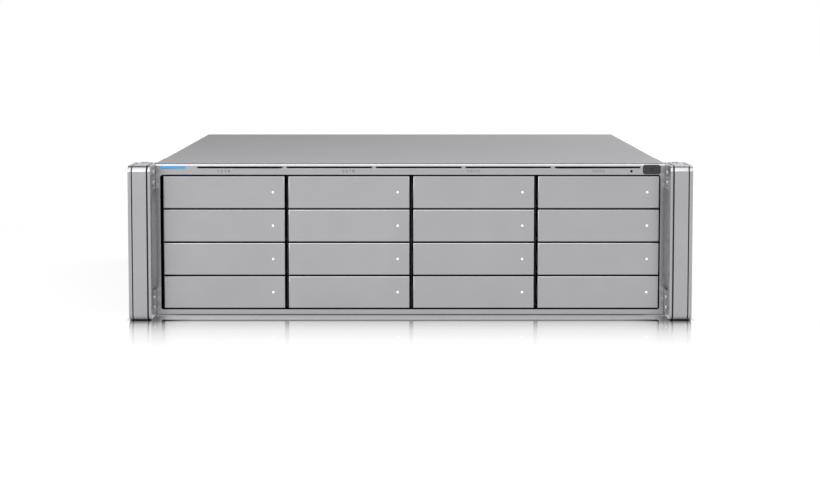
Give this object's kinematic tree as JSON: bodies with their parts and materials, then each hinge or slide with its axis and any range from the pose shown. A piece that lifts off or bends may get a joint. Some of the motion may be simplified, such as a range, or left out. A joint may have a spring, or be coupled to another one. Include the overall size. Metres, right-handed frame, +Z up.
{
  "type": "rack video recorder",
  "caption": "Rack-mount video recorder: a grid of swappable drive trays behind hinged faces, arched front handles on rack ears, and plug-in power supplies at the rear.",
  "frame": {"origin": "on the floor, under the middle of the outline in plan", "axes": "+Z up, drive trays face -Y, +X to the right seen from the front"},
  "size_m": [0.4826, 0.5752, 0.1333],
  "materials": {
    "front_alloy": "fine bead-blasted silver grey",
    "case_steel": "satin silver-grey powder coat",
    "rear_steel": "satin silver-grey powder coat",
    "zinc_steel": "zinc plated sheet",
    "black_steel": "matt black coat",
    "circuit_board": "green solder mask",
    "black_plastic": "moulded black",
    "heat_sink_alloy": "extruded",
    "port_metal": "plated shell",
    "blue_light": "lit light guide",
    "dark_button": "satin dark grey",
    "supply_metal": "plated sheet",
    "latch_plastic": "moulded, dark green",
    "drive_metal": "cast and stamped",
    "screw_steel": "zinc plated"
  },
  "bodies": {
    "chassis": {"base_pan": "case_steel", "top_cover": "case_steel", "front_frame": "front_alloy", "rear_panel": "rear_steel", "cage_walls": "black_steel", "backplane_board": "circuit_board", "backplane_connectors": "black_plastic", "fan_bracket": "zinc_steel", "fan_frames": "black_plastic", "main_board": "circuit_board", "heat_sink": "heat_sink_alloy", "network_ports": "port_metal", "psu_bay": "zinc_steel", "light_bar": "blue_light", "rack_ear_left": "case_steel", "rack_ear_right": "case_steel", "handle_left": "front_alloy", "handle_right": "front_alloy", "case_screws": "screw_steel"},
    "power_button": {"power_button": "dark_button"},
    "reset_button": {"reset_button": "black_plastic"},
    "fan_rotor_1": {"fan_rotor_1": "black_plastic"},
    "fan_rotor_2": {"fan_rotor_2": "black_plastic"},
    "fan_rotor_3": {"fan_rotor_3": "black_plastic"},
    "psu_1": {"psu_1": "supply_metal"},
    "psu_latch_1": {"psu_latch_1": "latch_plastic"},
    "psu_2": {"psu_2": "supply_metal"},
    "psu_latch_2": {"psu_latch_2": "latch_plastic"},
    "tray_01": {"drive_tray_01": "drive_metal"},
    "lever_01": {"tray_lever_01": "front_alloy"},
    "tray_02": {"drive_tray_02": "drive_metal"},
    "lever_02": {"tray_lever_02": "front_alloy"},
    "tray_03": {"drive_tray_03": "drive_metal"},
    "lever_03": {"tray_lever_03": "front_alloy"},
    "tray_04": {"drive_tray_04": "drive_metal"},
    "lever_04": {"tray_lever_04": "front_alloy"},
    "tray_05": {"drive_tray_05": "drive_metal"},
    "lever_05": {"tray_lever_05": "front_alloy"},
    "tray_06": {"drive_tray_06": "drive_metal"},
    "lever_06": {"tray_lever_06": "front_alloy"},
    "tray_07": {"drive_tray_07": "drive_metal"},
    "lever_07": {"tray_lever_07": "front_alloy"},
    "tray_08": {"drive_tray_08": "drive_metal"},
    "lever_08": {"tray_lever_08": "front_alloy"},
    "tray_09": {"drive_tray_09": "drive_metal"},
    "lever_09": {"tray_lever_09": "front_alloy"},
    "tray_10": {"drive_tray_10": "drive_metal"},
    "lever_10": {"tray_lever_10": "front_alloy"},
    "tray_11": {"drive_tray_11": "drive_metal"},
    "lever_11": {"tray_lever_11": "front_alloy"},
    "tray_12": {"drive_tray_12": "drive_metal"},
    "lever_12": {"tray_lever_12": "front_alloy"},
    "tray_13": {"drive_tray_13": "drive_metal"},
    "lever_13": {"tray_lever_13": "front_alloy"},
    "tray_14": {"drive_tray_14": "drive_metal"},
    "lever_14": {"tray_lever_14": "front_alloy"},
    "tray_15": {"drive_tray_15": "drive_metal"},
    "lever_15": {"tray_lever_15": "front_alloy"},
    "tray_16": {"drive_tray_16": "drive_metal"},
    "lever_16": {"tray_lever_16": "front_alloy"}
  },
  "joints": [
    {"name": "power_button_press", "type": "slide", "parent": "chassis", "child": "power_button", "axis": [0, 1, 0], "range_m": [0, 0.001], "stiffness_N_per_m": 800},
    {"name": "reset_button_press", "type": "slide", "parent": "chassis", "child": "reset_button", "axis": [0, 1, 0], "range_m": [0, 0.0005], "stiffness_N_per_m": 500},
    {"name": "tray_slide_01", "type": "slide", "parent": "chassis", "child": "tray_01", "axis": [0, -1, 0], "range_m": [0, 0.17]},
    {"name": "lever_swing_01", "type": "hinge", "parent": "tray_01", "child": "lever_01", "pos_m": [-0.2141, -0.2424, 0.10724], "axis": [0, 0, -1], "range_deg": [-1, 65]},
    {"name": "psu_slide_1", "type": "slide", "parent": "chassis", "child": "psu_1", "axis": [0, 1, 0], "range_m": [0, 0.19]},
    {"name": "psu_latch_press_1", "type": "hinge", "parent": "psu_1", "child": "psu_latch_1", "pos_m": [0.212, 0.2626, 0.0213], "axis": [0, 0, 1], "range_deg": [0, 12], "stiffness_Nm_per_rad": 0.3},
    {"name": "fan_spin_1", "type": "hinge", "parent": "chassis", "child": "fan_rotor_1", "pos_m": [-0.134, -0.0626, 0.0663], "axis": [0, 1, 0], "continuous": true},
    {"name": "fan_spin_2", "type": "hinge", "parent": "chassis", "child": "fan_rotor_2", "pos_m": [0, -0.0626, 0.0663], "axis": [0, 1, 0], "continuous": true},
    {"name": "fan_spin_3", "type": "hinge", "parent": "chassis", "child": "fan_rotor_3", "pos_m": [0.134, -0.0626, 0.0663], "axis": [0, 1, 0], "continuous": true},
    {"name": "psu_slide_2", "type": "slide", "parent": "chassis", "child": "psu_2", "axis": [0, 1, 0], "range_m": [0, 0.19]},
    {"name": "psu_latch_press_2", "type": "hinge", "parent": "psu_2", "child": "psu_latch_2", "pos_m": [0.1345, 0.2626, 0.0213], "axis": [0, 0, 1], "range_deg": [0, 12], "stiffness_Nm_per_rad": 0.3},
    {"name": "tray_slide_02", "type": "slide", "parent": "chassis", "child": "tray_02", "axis": [0, -1, 0], "range_m": [0, 0.17]},
    {"name": "lever_swing_02", "type": "hinge", "parent": "tray_02", "child": "lever_02", "pos_m": [-0.2141, -0.2424, 0.078], "axis": [0, 0, -1], "range_deg": [-1, 65]},
    {"name": "tray_slide_03", "type": "slide", "parent": "chassis", "child": "tray_03", "axis": [0, -1, 0], "range_m": [0, 0.17]},
    {"name": "lever_swing_03", "type": "hinge", "parent": "tray_03", "child": "lever_03", "pos_m": [-0.2141, -0.2424, 0.04876], "axis": [0, 0, -1], "range_deg": [-1, 65]},
    {"name": "tray_slide_04", "type": "slide", "parent": "chassis", "child": "tray_04", "axis": [0, -1, 0], "range_m": [0, 0.17]},
    {"name": "lever_swing_04", "type": "hinge", "parent": "tray_04", "child": "lever_04", "pos_m": [-0.2141, -0.2424, 0.01952], "axis": [0, 0, -1], "range_deg": [-1, 65]},
    {"name": "tray_slide_05", "type": "slide", "parent": "chassis", "child": "tray_05", "axis": [0, -1, 0], "range_m": [0, 0.17]},
    {"name": "lever_swing_05", "type": "hinge", "parent": "tray_05", "child": "lever_05", "pos_m": [-0.10522, -0.2424, 0.10724], "axis": [0, 0, -1], "range_deg": [-1, 65]},
    {"name": "tray_slide_06", "type": "slide", "parent": "chassis", "child": "tray_06", "axis": [0, -1, 0], "range_m": [0, 0.17]},
    {"name": "lever_swing_06", "type": "hinge", "parent": "tray_06", "child": "lever_06", "pos_m": [-0.10522, -0.2424, 0.078], "axis": [0, 0, -1], "range_deg": [-1, 65]},
    {"name": "tray_slide_07", "type": "slide", "parent": "chassis", "child": "tray_07", "axis": [0, -1, 0], "range_m": [0, 0.17]},
    {"name": "lever_swing_07", "type": "hinge", "parent": "tray_07", "child": "lever_07", "pos_m": [-0.10522, -0.2424, 0.04876], "axis": [0, 0, -1], "range_deg": [-1, 65]},
    {"name": "tray_slide_08", "type": "slide", "parent": "chassis", "child": "tray_08", "axis": [0, -1, 0], "range_m": [0, 0.17]},
    {"name": "lever_swing_08", "type": "hinge", "parent": "tray_08", "child": "lever_08", "pos_m": [-0.10522, -0.2424, 0.01952], "axis": [0, 0, -1], "range_deg": [-1, 65]},
    {"name": "tray_slide_09", "type": "slide", "parent": "chassis", "child": "tray_09", "axis": [0, -1, 0], "range_m": [0, 0.17]},
    {"name": "lever_swing_09", "type": "hinge", "parent": "tray_09", "child": "lever_09", "pos_m": [0.00366, -0.2424, 0.10724], "axis": [0, 0, -1], "range_deg": [-1, 65]},
    {"name": "tray_slide_10", "type": "slide", "parent": "chassis", "child": "tray_10", "axis": [0, -1, 0], "range_m": [0, 0.17]},
    {"name": "lever_swing_10", "type": "hinge", "parent": "tray_10", "child": "lever_10", "pos_m": [0.00366, -0.2424, 0.078], "axis": [0, 0, -1], "range_deg": [-1, 65]},
    {"name": "tray_slide_11", "type": "slide", "parent": "chassis", "child": "tray_11", "axis": [0, -1, 0], "range_m": [0, 0.17]},
    {"name": "lever_swing_11", "type": "hinge", "parent": "tray_11", "child": "lever_11", "pos_m": [0.00366, -0.2424, 0.04876], "axis": [0, 0, -1], "range_deg": [-1, 65]},
    {"name": "tray_slide_12", "type": "slide", "parent": "chassis", "child": "tray_12", "axis": [0, -1, 0], "range_m": [0, 0.17]},
    {"name": "lever_swing_12", "type": "hinge", "parent": "tray_12", "child": "lever_12", "pos_m": [0.00366, -0.2424, 0.01952], "axis": [0, 0, -1], "range_deg": [-1, 65]},
    {"name": "tray_slide_13", "type": "slide", "parent": "chassis", "child": "tray_13", "axis": [0, -1, 0], "range_m": [0, 0.17]},
    {"name": "lever_swing_13", "type": "hinge", "parent": "tray_13", "child": "lever_13", "pos_m": [0.11254, -0.2424, 0.10724], "axis": [0, 0, -1], "range_deg": [-1, 65]},
    {"name": "tray_slide_14", "type": "slide", "parent": "chassis", "child": "tray_14", "axis": [0, -1, 0], "range_m": [0, 0.17]},
    {"name": "lever_swing_14", "type": "hinge", "parent": "tray_14", "child": "lever_14", "pos_m": [0.11254, -0.2424, 0.078], "axis": [0, 0, -1], "range_deg": [-1, 65]},
    {"name": "tray_slide_15", "type": "slide", "parent": "chassis", "child": "tray_15", "axis": [0, -1, 0], "range_m": [0, 0.17]},
    {"name": "lever_swing_15", "type": "hinge", "parent": "tray_15", "child": "lever_15", "pos_m": [0.11254, -0.2424, 0.04876], "axis": [0, 0, -1], "range_deg": [-1, 65]},
    {"name": "tray_slide_16", "type": "slide", "parent": "chassis", "child": "tray_16", "axis": [0, -1, 0], "range_m": [0, 0.17]},
    {"name": "lever_swing_16", "type": "hinge", "parent": "tray_16", "child": "lever_16", "pos_m": [0.11254, -0.2424, 0.01952], "axis": [0, 0, -1], "range_deg": [-1, 65]}
  ]
}
